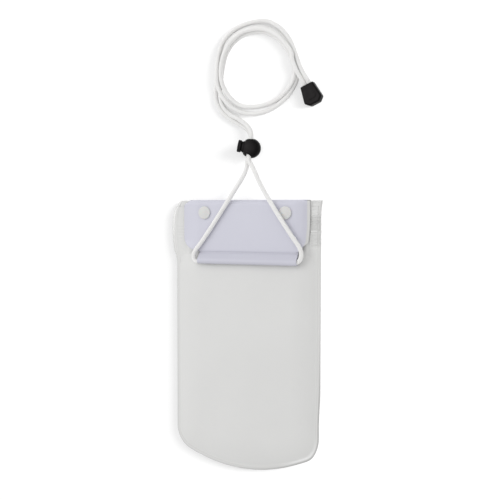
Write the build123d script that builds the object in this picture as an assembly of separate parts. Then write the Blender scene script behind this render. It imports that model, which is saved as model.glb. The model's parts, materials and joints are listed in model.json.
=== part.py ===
from build123d import *
from math import cos, pi, radians, sin, sqrt, tan
import os

os.makedirs("parts", exist_ok=True)

# A waterproof phone pouch with a neck cord, lying on its back as it comes to rest.
# Millimetres. X is across the pouch, +Y runs from its foot to its mouth and the cord,
# +Z is up, and the table is z = 0. The origin is under the middle of the pouch.

# The two film sheets
FILM = 0.4                 # thickness of each sheet
LENGTH = 192.4             # from the foot's lowest point to the back sheet's open edge
HALF_WIDTH = 55.0
LIP_STEP = 4.3             # the front sheet ends this much lower than the back one
FOOT_RISE = 15.7           # the foot's arc rises this much to the sides
CORNER_R = 18.4            # bottom corners
WELD_Z = 4.2               # height of the plane in which the sheets are welded
WELD = 2.3                 # margin welded flat along the sides and the foot
BELLY = 4.2                # how far each sheet stands off the weld plane
BELLY_DOWN = 34.2          # from the back sheet's open edge to the bellies, below the zip
BELLY_TOP_R = 16.0
BELLY_EASE = 4.5           # how far the rounding reaches onto the belly's plateau
SLOPE = 62.0               # lean of the slopes, in degrees from upright
SIDE_BULGE = 1.8           # the crushed zip pushes the left edge out
BULGE_DOWN = 49.2          # from the back sheet's open edge to the bulge's lower end
TIP_FLARE = 1.3            # the right top corner flares out
TIP_DOWN = 10.2            # length of that flare

# The channel for the zip and the lips above it
SIDE_WELD = 8.0            # width at the sides that is welded over the zip's ends
CHANNEL_GAP = 2.2          # between the sheets
CHANNEL_EASE = 0.6
RIDGE_R = 0.55             # ridges where the zip's ends are crushed in the weld

# Press-seal zip, two mating strips with three tracks
ZIP_DOWN = 22.4            # from the back sheet's open edge to the zip's middle
ZIP_WIDTH = 12.5
ZIP_BASE = 0.35
ZIP_PITCH = 3.9
ZIP_TRACKS = 3
ZIP_END_PLAY = 0.6         # between the strips' ends and the channel's slopes
ZIP_PLAY = 0.08            # clearance between the tracks
ZIP_STEM = 0.25            # half the thickness of a male track's stem
ZIP_BARB = 0.27            # how far its barb stands out
ZIP_BARB_AT = 0.47         # height of the barb, as a share of the room between the strips
ZIP_TIP_AT = 0.9           # height of its tip
ZIP_WALL = 0.4             # thickness of the female track's walls

# Closing flap with the cord tunnel
FLAP_T = 0.5
FLAP_IN_LEFT = 8.0         # from the pouch's side to the flap's
FLAP_IN_RIGHT = 9.0
FLAP_LEG = 11.7            # length of the leg welded to the back sheet
FOLD_R = 1.0               # middle radius of the fold over the mouth
FLAP_RISE = 3.0            # gap between front sheet and flap at the snaps
SHOULDER_R = 4.0
CORNER_UP = 9.8            # from the seam up to where the flap's straight sides end
TUNNEL_IN_LEFT = 12.0      # from the flap's side to the tunnel's end
TUNNEL_IN_RIGHT = 6.0
TUNNEL_DOWN = 42.8         # from the back sheet's open edge to the cord in the tunnel
SEAM_UP = 6.8              # from the cord up to the weld line that closes the tunnel
TUNNEL_PLAY = 0.2
TOP_CUT_LEFT = 5.0         # cut corners at the fold
TOP_CUT_RIGHT = 2.0

# Snap fasteners
SNAP_IN = 24.3             # from the pouch's side to the snap's middle
SNAP_DOWN = 8.6            # from the back sheet's open edge to the snaps
CAP_R = 4.6
CAP_EDGE = 0.9
CAP_H = 1.6
STUD_R = 4.0
STUD_BASE = 0.6
KNOB_R = 2.15
KNOB_H = 1.45
RIVET_R = 1.0
RIVET_DISC_R = 3.9
RIVET_DISC = 0.8
SNAP_PLAY = 0.15
HOLE_PLAY = 0.06
RIVET_HEAD = 0.4           # how far the cap's riveted head stands out over its hole

# Neck cord
CORD_D = 3.2
CORD_PLAY = 0.05
CORD_LIFT = 0.15           # between the cord and what it lies on

# Ball-shaped cord lock, tipped towards the ring and rolled on the cord, its button raised
LOCK_X = 4.3
LOCK_Y = 132.9
LOCK_TURN = -6.5           # degrees about +Z
LOCK_PITCH = 14.0          # the cords come in this much from above, in degrees
LOCK_ROLL = 20.0           # the button points up this much, in degrees
BALL_R = 6.95
BALL_FLAT = 4.95           # the ball is cut flat this far from its middle, at the button
BORE_R = 4.25
BORE_DEPTH = 4.1           # past the ball's middle
SPRING_BORE_R = 3.0
SPRING_BORE_DEPTH = 5.2
MOUTH_EASE = 0.4           # rounding of the cord hole's mouths
CORD_HOLE_U = -1.0         # the cords pass this far from the ball's middle
CORD_HOLE_H = 6.9
BUTTON_TRAVEL = 2.4
BUTTON_R = 4.1
BUTTON_RIM_R = 4.3
BUTTON_RIM = 2.1           # thickness of the rim to press
BUTTON_WAIST_R = 3.5
BUTTON_WAIST = 6.6         # the narrowest place, from the ball's middle
BUTTON_GUIDE = 5.7         # the part that slides in the bore starts here
BUTTON_EASE = 0.3
BUTTON_OUT = 9.55          # outer face, from the ball's middle
BUTTON_IN = 1.5            # inner face, from the ball's middle
SPRING_R = 2.3
SPRING_WIRE = 0.35
SPRING_TURNS = 3

# Moulded cord end
END_X = 44.55
END_Y = 175.35
END_TURN = 204.5           # degrees about +Z, from the narrow face outwards
END_NARROW = 9.6
END_WIDE = 13.4
END_LENGTH = 14.4
END_WIDEST = 11.5
END_HEIGHT = 6.8
END_FAR = 7.2              # width of the far edge between its cut corners
END_ROUND = 1.6
END_BEVEL = 1.1
GRIP_W = 6.4               # raised oval on the cover
GRIP_H = 3.0
GRIP_RISE = 0.4
END_BORE = 9.0             # depth of the cord holes
END_PIN_R = 0.9

# Ring of coiled cord
COIL_X = 8.5
COIL_Y = 189.8
COIL_R = 33.3
COIL_BAND = 8.2            # mean width of the band of cord
COIL_IN_DROP = 1.0         # the open middle sits this much lower
COIL_ROUND = 2.8

# Worked out from the sizes above
CORD_R = CORD_D / 2
FOOT_Y = -LENGTH / 2
BACK_LIP_Y = LENGTH / 2
FRONT_LIP_Y = BACK_LIP_Y - LIP_STEP
BELLY_TOP_Y = BACK_LIP_Y - BELLY_DOWN
BULGE_LOW_Y = BACK_LIP_Y - BULGE_DOWN
TIP_LOW_Y = BACK_LIP_Y - TIP_DOWN
ZIP_Y = BACK_LIP_Y - ZIP_DOWN
FLAP_BACK_Y = BACK_LIP_Y - FLAP_LEG
TUNNEL_Y = BACK_LIP_Y - TUNNEL_DOWN
SEAM_Y = TUNNEL_Y + SEAM_UP
CORNER_LOW_Y = SEAM_Y + CORNER_UP
SNAP_Y = BACK_LIP_Y - SNAP_DOWN
CHANNEL_HALF = HALF_WIDTH - SIDE_WELD
FLAP_LEFT = FLAP_IN_LEFT - HALF_WIDTH
FLAP_RIGHT = HALF_WIDTH - FLAP_IN_RIGHT
TUNNEL_LEFT = FLAP_LEFT + TUNNEL_IN_LEFT
TUNNEL_RIGHT = FLAP_RIGHT - TUNNEL_IN_RIGHT
SNAP_X = HALF_WIDTH - SNAP_IN
FOOT_R = (HALF_WIDTH**2 + FOOT_RISE**2) / (2 * FOOT_RISE)
SLOPE_SHIFT = FILM / cos(radians(SLOPE))
EASE_ANGLE = radians(90 - SLOPE) / 2
CHANNEL_H = CHANNEL_GAP / 2 + FILM
CHANNEL_SIDE = SLOPE_SHIFT + CHANNEL_GAP / 2 * tan(radians(SLOPE))
ZIP_HALF = CHANNEL_HALF - CHANNEL_SIDE - ZIP_END_PLAY
FILM_TOP = WELD_Z + CHANNEL_H
FLAP_MID = FILM_TOP + FLAP_RISE + FLAP_T / 2
FLAP_TOP = FLAP_MID + FLAP_T / 2
SOCKET_TOP = FLAP_MID - FLAP_T / 2
TUNNEL_R = CORD_R + TUNNEL_PLAY
BELLY_TOP_Z = WELD_Z + BELLY
TUNNEL_Z = max(BELLY_TOP_Z + CORD_LIFT, SOCKET_TOP) + FLAP_T + TUNNEL_R
OVER_FLAP = FLAP_TOP + CORD_LIFT + CORD_R
OVER_SNAP = FLAP_TOP + CAP_H + CORD_LIFT + CORD_R
STRAND_STEP = CORD_R + CORD_PLAY


def along_y(x_size, y_low, y_high, z_low, z_high):
    """A block centred on x = 0."""
    block = Box(x_size, y_high - y_low, z_high - z_low)
    return Pos(0, (y_low + y_high) / 2, (z_low + z_high) / 2) * block


def pouch_plan(inset, top_y, top_r):
    """Plan of the pouch: curved foot, round corners and straight sides, all moved in by inset."""
    half = HALF_WIDTH - inset
    foot_r = FOOT_R - inset
    foot_y = FOOT_Y + inset
    side_y = foot_y + foot_r - sqrt(foot_r**2 - half**2)
    foot = ThreePointArc((-half, side_y), (0, foot_y), (half, side_y))
    sides = Polyline((half, side_y), (half, top_y), (-half, top_y), (-half, side_y))
    plan = make_face([foot, sides])
    corners = plan.vertices().sort_by(Axis.Y)
    plan = fillet(corners[:2], CORNER_R - inset)
    if top_r:
        plan = fillet(plan.vertices().sort_by(Axis.Y)[-2:], top_r)
    return plan


def sheet_plan(lip_y):
    """Plan of a whole sheet, with the bulge at the left and the flared tip at the right."""
    plan = pouch_plan(0, lip_y, 0)
    bulge_top = (-HALF_WIDTH, FRONT_LIP_Y)
    bulge_mid = (-HALF_WIDTH - SIDE_BULGE, (BULGE_LOW_Y + FRONT_LIP_Y) / 2)
    bulge_low = (-HALF_WIDTH, BULGE_LOW_Y)
    bulge = ThreePointArc(bulge_top, bulge_mid, bulge_low)
    plan += make_face([bulge, Line(bulge_low, bulge_top)])
    share = (lip_y - TIP_LOW_Y) / (BACK_LIP_Y - TIP_LOW_Y)
    tip = Polyline(
        (HALF_WIDTH, TIP_LOW_Y),
        (HALF_WIDTH + TIP_FLARE * share, lip_y),
        (HALF_WIDTH, lip_y),
        close=True,
    )
    return plan + make_face(tip)


def raised(plan, height, ease, film):
    """A plan raised to a plateau with sloping sides, from z = 0 up.

    The rounding reaches ease onto the plateau, and film inwards of that surface is its inside.
    """
    plateau = extrude(plan, amount=height, taper=SLOPE)
    rim = plateau.faces().sort_by(Axis.Z)[-1].edges()
    return fillet(rim, ease / tan(EASE_ANGLE) - film)


def channel_plan(half, low_y):
    """Plan of the channel that runs out past the lips."""
    high_y = BACK_LIP_Y + 3 * WELD
    plan = Pos(0, (low_y + high_y) / 2) * Rectangle(2 * half, high_y - low_y)
    return plan


def sheet(lip_y):
    """One welded sheet above z = 0: flat margin, belly for the phone and channel for the zip."""
    step = SLOPE_SHIFT
    outside = raised(pouch_plan(WELD, BELLY_TOP_Y, BELLY_TOP_R), BELLY, BELLY_EASE, 0)
    outside += raised(channel_plan(CHANNEL_HALF, BELLY_TOP_Y / 2), CHANNEL_H, CHANNEL_EASE, 0)
    inner_plan = pouch_plan(WELD + step, BELLY_TOP_Y - step, BELLY_TOP_R - step)
    inside = raised(inner_plan, BELLY - FILM, BELLY_EASE, FILM)
    inner_channel = channel_plan(CHANNEL_HALF - step, BELLY_TOP_Y / 2 + step)
    inside += raised(inner_channel, CHANNEL_GAP / 2, CHANNEL_EASE, FILM)
    film = extrude(sheet_plan(lip_y), amount=FILM) + outside
    reach = 2 * HALF_WIDTH
    film -= along_y(2 * reach, lip_y, lip_y + reach, -1, BELLY + 1)
    film -= inside
    for side in (-1, 1):
        for track in range(ZIP_TRACKS):
            film += crushed_end(side, track_y(track))
    return film


def track_y(track):
    """Height of one of the zip's tracks along the pouch."""
    return ZIP_Y + (track - (ZIP_TRACKS - 1) / 2) * ZIP_PITCH


def crushed_end(side, y):
    """A low ridge on the side weld where a track of the zip is crushed in it."""
    length = HALF_WIDTH - CHANNEL_HALF - FILM
    middle = side * (CHANNEL_HALF + length / 2 + FILM / 2)
    rod = Rot(0, 90, 0) * Cylinder(RIDGE_R, length)
    ridge = Pos(middle, y, FILM) * rod
    return ridge & along_y(4 * HALF_WIDTH, y - RIDGE_R, y + RIDGE_R, FILM / 2, FILM + RIDGE_R)


def upright_hole(x, y, radius, z_low, z_high):
    return Pos(x, y, (z_low + z_high) / 2) * Cylinder(radius, z_high - z_low)


def make_front_panel():
    panel = Pos(0, 0, WELD_Z) * sheet(FRONT_LIP_Y)
    for side in (-1, 1):
        panel -= upright_hole(side * SNAP_X, SNAP_Y, RIVET_R, WELD_Z, FILM_TOP + FILM)
    return panel


def make_back_panel():
    return Pos(0, 0, WELD_Z) * mirror(sheet(BACK_LIP_Y), about=Plane.XY)


def zip_strip():
    """The plain strip both halves start from, lying on z = 0 and facing up."""
    return along_y(2 * ZIP_HALF, ZIP_Y - ZIP_WIDTH / 2, ZIP_Y + ZIP_WIDTH / 2, 0, ZIP_BASE)


def zip_rib(points, y):
    """One extruded track with the outline points, in (across, up), on a strip's face."""
    outline = make_face(Polyline(*[(y + p[0], ZIP_BASE + p[1]) for p in points], close=True))
    return extrude(Plane.YZ * outline, amount=ZIP_HALF, both=True)


def make_zip_back():
    """Male half: an arrow-shaped rib on each track."""
    room = CHANNEL_GAP - 2 * ZIP_BASE
    barb = ZIP_STEM + ZIP_BARB
    barb_low = room * ZIP_BARB_AT
    half_rib = [
        (ZIP_STEM, -ZIP_BASE / 2),
        (ZIP_STEM, barb_low),
        (barb, barb_low),
        (barb, barb_low + ZIP_BARB / 2),
        (ZIP_STEM / 2, room * ZIP_TIP_AT),
    ]
    points = half_rib + [(-x, z) for x, z in reversed(half_rib)]
    strip = zip_strip()
    for track in range(ZIP_TRACKS):
        strip += zip_rib(points, track_y(track))
    return Pos(0, 0, WELD_Z - CHANNEL_GAP / 2) * strip


def make_zip_front():
    """Female half: a pair of hooked ribs on each track."""
    room = CHANNEL_GAP - 2 * ZIP_BASE
    wall_in = ZIP_STEM + ZIP_BARB + ZIP_PLAY
    wall_out = wall_in + ZIP_WALL
    lip_in = ZIP_STEM + ZIP_PLAY
    lip_up = room * (1 - ZIP_BARB_AT) + ZIP_PLAY
    tip = lip_up + ZIP_BARB
    hook = [
        (wall_in, -ZIP_BASE / 2),
        (wall_in, lip_up),
        (lip_in, lip_up),
        (lip_in, tip - ZIP_BARB / 3),
        (wall_in, tip),
        (wall_out, tip),
        (wall_out, -ZIP_BASE / 2),
    ]
    strip = zip_strip()
    for track in range(ZIP_TRACKS):
        for side in (-1, 1):
            strip += zip_rib([(side * x, z) for x, z in hook], track_y(track))
    return Pos(0, 0, WELD_Z + CHANNEL_GAP / 2) * mirror(strip, about=Plane.XY)


def flap_band():
    """The flap's section in the YZ plane, from the back leg over the fold to the tunnel's seam."""
    back_mid = WELD_Z - CHANNEL_H - FLAP_T / 2
    fold_y = BACK_LIP_Y + FOLD_R
    shoulder_y = SNAP_Y + CAP_R + SHOULDER_R / 3
    points = [
        (FLAP_BACK_Y, back_mid),
        (fold_y, back_mid),
        (fold_y, FILM_TOP),
        (shoulder_y, FLAP_MID),
        (SEAM_Y, FLAP_MID),
    ]
    line = FilletPolyline(*points, radius=[FOLD_R, FOLD_R, SHOULDER_R])
    band = line.offset_2d(FLAP_T / 2, kind=Kind.ARC, side=Side.BOTH)
    return make_face(band)


def teardrop(radius, tip_radius, tip_y):
    """A loop around the cord that closes to a narrow seam at tip_y."""
    loop = Pos(TUNNEL_Y, TUNNEL_Z) * Circle(radius)
    seam = Pos(tip_y, FLAP_MID) * Circle(tip_radius)
    return make_hull(loop.edges() + seam.edges())


def flap_plan():
    """Plan of the flap: round lower corners, narrower tunnel, cut corners at the fold."""
    top = BACK_LIP_Y + 3 * FOLD_R
    fold = BACK_LIP_Y + FOLD_R
    low = TUNNEL_Y - 3 * TUNNEL_R
    outline = Polyline(
        (TUNNEL_LEFT, low),
        (TUNNEL_RIGHT, low),
        (TUNNEL_RIGHT, SEAM_Y + FLAP_T),
        (FLAP_RIGHT, CORNER_LOW_Y),
        (FLAP_RIGHT, fold - TOP_CUT_RIGHT),
        (FLAP_RIGHT - TOP_CUT_RIGHT, fold),
        (FLAP_RIGHT - TOP_CUT_RIGHT, top),
        (FLAP_LEFT + TOP_CUT_LEFT, top),
        (FLAP_LEFT + TOP_CUT_LEFT, fold),
        (FLAP_LEFT, fold - TOP_CUT_LEFT),
        (FLAP_LEFT, CORNER_LOW_Y),
        (TUNNEL_LEFT, SEAM_Y + FLAP_T),
        close=True,
    )
    plan = make_face(outline)
    lower_corners = [v for v in plan.vertices() if abs(v.Y - CORNER_LOW_Y) < 0.01]
    return fillet(lower_corners, TUNNEL_IN_LEFT)


def make_flap():
    section = flap_band() + teardrop(TUNNEL_R + FLAP_T, FLAP_T, SEAM_Y)
    section -= teardrop(TUNNEL_R, FLAP_T / 10, SEAM_Y - 3 * FLAP_T)
    flap = extrude(Plane.YZ * section, amount=2 * HALF_WIDTH, both=True)
    flap &= extrude(flap_plan(), amount=4 * FLAP_TOP)
    for side in (-1, 1):
        flap -= upright_hole(side * SNAP_X, SNAP_Y, RIVET_R, SOCKET_TOP - FLAP_T, FLAP_TOP + FLAP_T)
    return flap


def turned(points):
    """A solid turned about the Z axis from an outline in (radius, height)."""
    outline = make_face(Polyline(*points, close=True))
    return revolve(Plane.XZ * outline, axis=Axis.Z)


def make_snap_cap():
    """Outer cap: a domed disc on the flap, its post riveted over in the socket."""
    dome_r = (CAP_R**2 + (CAP_H - CAP_EDGE) ** 2) / (2 * (CAP_H - CAP_EDGE))
    dome = Pos(0, 0, CAP_H - dome_r) * Sphere(dome_r)
    disc = Pos(0, 0, CAP_H / 2) * Cylinder(CAP_R, CAP_H) & dome
    post_r = RIVET_R - HOLE_PLAY
    web = socket_web()
    post = Pos(0, 0, -(FLAP_T + web) / 2) * Cylinder(post_r, FLAP_T + web)
    head = Pos(0, 0, -FLAP_T - web - SNAP_PLAY / 2) * Cylinder(post_r + RIVET_HEAD, SNAP_PLAY)
    return Pos(0, 0, FLAP_TOP) * (disc + post + head)


def socket_web():
    """Thickness of the socket's closed end."""
    return FLAP_RISE - STUD_BASE - SNAP_PLAY - socket_cavity()


def socket_cavity():
    return KNOB_H + 2 * SNAP_PLAY


def make_snap_socket():
    """Socket under the flap: a ring that springs over the stud's knob."""
    low = FILM_TOP + STUD_BASE + SNAP_PLAY
    cavity = low + socket_cavity()
    wide = KNOB_R + SNAP_PLAY
    narrow = KNOB_R - SNAP_PLAY
    lip = low + KNOB_H / 4
    return turned([
        (narrow, low), (CAP_R - SNAP_PLAY, low), (CAP_R - SNAP_PLAY, SOCKET_TOP),
        (RIVET_R, SOCKET_TOP), (RIVET_R, cavity), (wide, cavity), (wide, lip), (narrow, lip),
    ])


def make_snap_stud():
    """Stud on the front sheet, with a waisted knob."""
    base = FILM_TOP + STUD_BASE
    knob_low = base + SNAP_PLAY + KNOB_H / 4 + SNAP_PLAY
    top = base + SNAP_PLAY + KNOB_H
    waist = KNOB_R - 3 * SNAP_PLAY
    return turned([
        (RIVET_R, FILM_TOP), (STUD_R, FILM_TOP), (STUD_R, base), (waist, base),
        (waist, knob_low), (KNOB_R, knob_low + SNAP_PLAY), (KNOB_R, top - SNAP_PLAY),
        (KNOB_R - SNAP_PLAY, top), (RIVET_R, top),
    ])


def make_snap_rivet():
    """Rivet that holds the stud from inside the mouth."""
    disc_low = FILM_TOP - FILM - RIVET_DISC
    height = FILM + STUD_BASE + KNOB_H - SNAP_PLAY
    disc = upright_hole(0, 0, RIVET_DISC_R, disc_low, FILM_TOP - FILM)
    post = upright_hole(0, 0, RIVET_R - HOLE_PLAY, FILM_TOP - FILM, FILM_TOP - FILM + height)
    return disc + post


def lock_place(part):
    """From the lock's own frame, with the button along -X and the cords along Y, to the row's."""
    tip = Rot(-LOCK_PITCH, 0, 0) * Rot(0, LOCK_ROLL, 0)
    return Pos(LOCK_X, LOCK_Y, BALL_R) * Rot(0, 0, LOCK_TURN) * tip * part


def lock_rod(radius, u_low, u_high):
    """A cylinder along the button's axis."""
    rod = Rot(0, 90, 0) * Cylinder(radius, u_high - u_low)
    return Pos((u_low + u_high) / 2, 0, 0) * rod


def lock_window(u_low, u_high, height):
    """A round-cornered hole along the cords, right through."""
    shape = Plane.XZ * RectangleRounded(u_high - u_low, height, CORD_R)
    window = extrude(shape, amount=2 * BALL_R, both=True)
    return Pos((u_low + u_high) / 2, 0, 0) * window


def make_lock_body():
    """Ball with a flat at the button, a stepped bore and a soft-edged hole for the cords."""
    body = Sphere(BALL_R)
    body -= Pos(-BALL_FLAT - BALL_R, 0, 0) * Box(2 * BALL_R, 4 * BALL_R, 4 * BALL_R)
    body -= lock_rod(BORE_R, -2 * BALL_R, BORE_DEPTH)
    body -= lock_rod(SPRING_BORE_R, 0, SPRING_BORE_DEPTH)
    hole_low = CORD_HOLE_U - CORD_R - 3 * CORD_PLAY
    hole_high = CORD_HOLE_U + CORD_R + 3 * CORD_PLAY
    body -= lock_window(hole_low, hole_high, CORD_HOLE_H)
    mouths = [e for e in body.edges() if abs(e.center().Y) > BALL_R / 2]
    body = fillet(mouths, MOUTH_EASE)
    return lock_place(body)


def make_lock_button():
    """Button with a rim to press, a waist and a window that is longer than the cords by its travel."""
    rim_in = BUTTON_OUT - BUTTON_RIM
    half = Polyline(
        (-BUTTON_OUT, 0),
        (-BUTTON_OUT, BUTTON_RIM_R - BUTTON_EASE),
        (-BUTTON_OUT + BUTTON_EASE, BUTTON_RIM_R),
        (-rim_in, BUTTON_RIM_R),
        (-BUTTON_WAIST, BUTTON_WAIST_R),
        (-BUTTON_GUIDE, BUTTON_R),
        (BUTTON_IN, BUTTON_R),
        (BUTTON_IN, 0),
        close=True,
    )
    button = revolve(make_face(half), axis=Axis.X)
    low = CORD_HOLE_U - CORD_R - 3 * CORD_PLAY - BUTTON_TRAVEL
    high = CORD_HOLE_U + CORD_R + 2 * CORD_PLAY
    button -= lock_window(low, high, 2 * STRAND_STEP + 2 * CORD_R + 2 * CORD_PLAY)
    return lock_place(button)


def make_lock_spring():
    """Compression spring between the button's inner face and the end of the bore."""
    length = SPRING_BORE_DEPTH - BUTTON_IN - SPRING_WIRE - 2 * CORD_PLAY
    coil = Helix(pitch=length / SPRING_TURNS, height=length, radius=SPRING_R)
    start = Plane(origin=coil @ 0, z_dir=coil % 0)
    wire = sweep(start * Circle(SPRING_WIRE / 2), path=coil)
    low = BUTTON_IN + SPRING_WIRE / 2 + CORD_PLAY
    return lock_place(Pos(low, 0, 0) * Rot(0, 90, 0) * wire)


def end_place(part):
    """From the cord end's own frame, with the cords along Y and their mouths at y = 0, to the row's."""
    return Pos(END_X, END_Y, END_HEIGHT / 2) * Rot(0, 0, END_TURN) * part


def make_cord_end():
    """The two moulded halves that are pressed together over the cord's ends."""
    plan = make_face(Polyline(
        (-END_NARROW / 2, 0),
        (END_NARROW / 2, 0),
        (END_WIDE / 2, END_WIDEST),
        (END_FAR / 2, END_LENGTH),
        (-END_FAR / 2, END_LENGTH),
        (-END_WIDE / 2, END_WIDEST),
        close=True,
    ))
    far = [v for v in plan.vertices() if v.Y > 1]
    plan = fillet(far, END_ROUND)
    shell = extrude(plan, amount=END_HEIGHT / 2, both=True)
    rims = [e for e in shell.edges() if abs(e.center().Z) > END_HEIGHT / 2 - 0.01 and e.center().Y > 1]
    shell = chamfer(rims, END_BEVEL)
    for side in (-1, 1):
        hole = Rot(90, 0, 0) * Cylinder(CORD_R + CORD_PLAY, 2 * END_BORE)
        shell -= Pos(side * STRAND_STEP, 0, 0) * hole
    size = 4 * END_LENGTH
    top_half = Pos(0, 0, size / 2) * Box(size, size, size)
    base = shell - top_half
    cover = shell & top_half
    grip = Pos(0, END_BORE, END_HEIGHT / 2) * SlotOverall(GRIP_W, GRIP_H)
    cover += extrude(grip, amount=GRIP_RISE, both=True)
    for side in (-1, 1):
        x = side * END_NARROW / 3
        y = (END_BORE + END_WIDEST) / 2
        cover += upright_hole(x, y, END_PIN_R, -END_HEIGHT / 4, END_HEIGHT / 4)
        base -= upright_hole(x, y, END_PIN_R + CORD_PLAY, -END_HEIGHT / 4 - CORD_PLAY, END_HEIGHT)
    return end_place(base), end_place(cover)


def make_coil():
    """The ring of doubled, twice-turned cord as one closed solid of its outer shape."""
    height = 2 * CORD_D
    ring = Pos(COIL_X, COIL_Y) * Circle(COIL_R)
    ring -= Pos(COIL_X, COIL_Y - COIL_IN_DROP) * Circle(COIL_R - COIL_BAND)
    coil = extrude(ring, amount=height)
    return fillet(coil.edges(), COIL_ROUND)


def turn_at(a, b, c):
    """Angle in degrees by which a route turns at b."""
    first = Vector(*b) - Vector(*a)
    second = Vector(*c) - Vector(*b)
    return first.get_angle(second)


def tube(name, points):
    """A cord along straight runs joined by arcs as large as the runs allow."""
    runs = [(Vector(*b) - Vector(*a)).length for a, b in zip(points, points[1:])]
    radii = []
    for i in range(1, len(points) - 1):
        turn = turn_at(points[i - 1], points[i], points[i + 1])
        radii.append(0.45 * min(runs[i - 1], runs[i]) / tan(radians(turn / 2)))
    path = FilletPolyline(*points, radius=radii)
    start = Plane(origin=path @ 0, z_dir=path % 0)
    solid = sweep(start * Circle(CORD_R), path=path)
    expected = path.length * pi * CORD_R**2
    print(name, "length", round(path.length, 1), "tightest radius", round(min(radii), 2),
          "volume over section times length", round(solid.volume / expected, 4))
    return solid


def lock_point(v, up):
    """A point on a cord's line through the lock, v along it and up across it from the ball's middle."""
    turn = radians(LOCK_TURN)
    pitch = radians(LOCK_PITCH)
    roll = radians(LOCK_ROLL)
    across = CORD_HOLE_U * cos(roll) + up * sin(roll)
    lift = up * cos(roll) - CORD_HOLE_U * sin(roll)
    along = v * cos(pitch) + lift * sin(pitch)
    x = LOCK_X + across * cos(turn) - along * sin(turn)
    y = LOCK_Y + across * sin(turn) + along * cos(turn)
    return (x, y, BALL_R - v * sin(pitch) + lift * cos(pitch))


def end_point(side, depth):
    """A point on one cord's line into the cord end, depth past its mouth."""
    turn = radians(END_TURN)
    x = END_X + side * STRAND_STEP * cos(turn) - depth * sin(turn)
    y = END_Y + side * STRAND_STEP * sin(turn) + depth * cos(turn)
    return (x, y, END_HEIGHT / 2)


def cord_routes():
    """Both strands from the middle of the tunnel through the lock, side by side to the ring."""
    middle = (TUNNEL_LEFT + TUNNEL_RIGHT) / 2
    left = [
        (middle, TUNNEL_Y, TUNNEL_Z),
        (TUNNEL_LEFT - 2.6, TUNNEL_Y, TUNNEL_Z),
        (TUNNEL_LEFT - 4.6, TUNNEL_Y + 5.8, OVER_FLAP),
        (-31.0, 67.8, OVER_FLAP),
        (-6.4, 104.6, OVER_FLAP + 0.1),
        (0.6, 117.0, 9.0),
        lock_point(-9.0, -STRAND_STEP),
        lock_point(8.6, -STRAND_STEP),
        (-0.4, 147.4, 2.3),
        (-9.6, 151.9, 1.8),
        (-19.0, 157.8, 1.8),
        (-24.6, 165.8, 1.8),
        (-25.8, 175.0, 2.1),
        (-22.4, 189.0, 3.2),
    ]
    right = [
        (middle, TUNNEL_Y, TUNNEL_Z),
        (TUNNEL_RIGHT + 2.4, TUNNEL_Y, TUNNEL_Z),
        (TUNNEL_RIGHT + 4.6, TUNNEL_Y + 8.4, OVER_FLAP + 0.2),
        (35.6, 72.6, OVER_SNAP),
        (13.6, 104.6, OVER_SNAP - 0.8),
        (6.4, 119.6, 11.6),
        lock_point(-8.6, STRAND_STEP),
        lock_point(9.4, STRAND_STEP),
        (1.6, 148.4, 5.4),
        (-5.6, 153.6, 3.5),
        (-14.2, 158.9, 2.1),
        (-19.9, 165.1, 1.9),
        (-22.1, 173.5, 2.1),
        (-20.2, 184.5, 3.2),
    ]
    return left, right


def tail_routes():
    """Both strands from the ring into the cord end."""
    left = [(37.0, 193.2, 3.6), (39.0, 185.2, 3.4), end_point(1, -3), end_point(1, END_BORE - 1)]
    right = [(38.2, 197.0, 3.6), (41.8, 188.0, 3.4), end_point(-1, -3), end_point(-1, END_BORE - 1)]
    return left, right


parts = {
    "front_panel": make_front_panel(),
    "back_panel": make_back_panel(),
    "zip_front": make_zip_front(),
    "zip_back": make_zip_back(),
    "closing_flap": make_flap(),
}
for name, side in (("left", -1), ("right", 1)):
    seat = Pos(side * SNAP_X, SNAP_Y, 0)
    parts[name + "_snap_cap"] = seat * make_snap_cap()
    parts[name + "_snap_socket"] = seat * make_snap_socket()
    parts[name + "_snap_stud"] = seat * make_snap_stud()
    parts[name + "_snap_rivet"] = seat * make_snap_rivet()
parts["lock_body"] = make_lock_body()
parts["lock_button"] = make_lock_button()
parts["lock_spring"] = make_lock_spring()
parts["cord_end_base"], parts["cord_end_cover"] = make_cord_end()
coil = make_coil()
parts["cord_coil"] = coil
for name, route in zip(("cord_left", "cord_right"), cord_routes()):
    parts[name] = tube(name, route) - coil
for name, route in zip(("cord_tail_left", "cord_tail_right"), tail_routes()):
    parts[name] = tube(name, route) - coil

for name, part in parts.items():
    export_step(part, "parts/" + name + ".step")
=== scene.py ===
"""A waterproof phone pouch of welded film with a neck cord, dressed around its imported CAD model."""

import json
import math

import bpy
from bpy.props import FloatProperty, FloatVectorProperty, PointerProperty
from mathutils import Matrix, Vector, noise


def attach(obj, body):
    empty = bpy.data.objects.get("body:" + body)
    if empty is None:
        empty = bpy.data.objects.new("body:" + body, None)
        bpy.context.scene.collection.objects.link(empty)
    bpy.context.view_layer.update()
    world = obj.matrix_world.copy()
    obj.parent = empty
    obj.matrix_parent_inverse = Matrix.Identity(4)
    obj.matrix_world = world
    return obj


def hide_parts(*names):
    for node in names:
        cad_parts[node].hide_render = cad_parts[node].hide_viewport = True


bl_info = {
    "name": "Waterproof phone pouch",
    "version": (1, 0, 0),
    "blender": (4, 5, 0),
    "location": "View3D > Sidebar > Pouch",
    "description": "Dresses a film phone pouch with a neck cord, a cord lock and a snap-down flap",
    "category": "Add Mesh",
}

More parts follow.
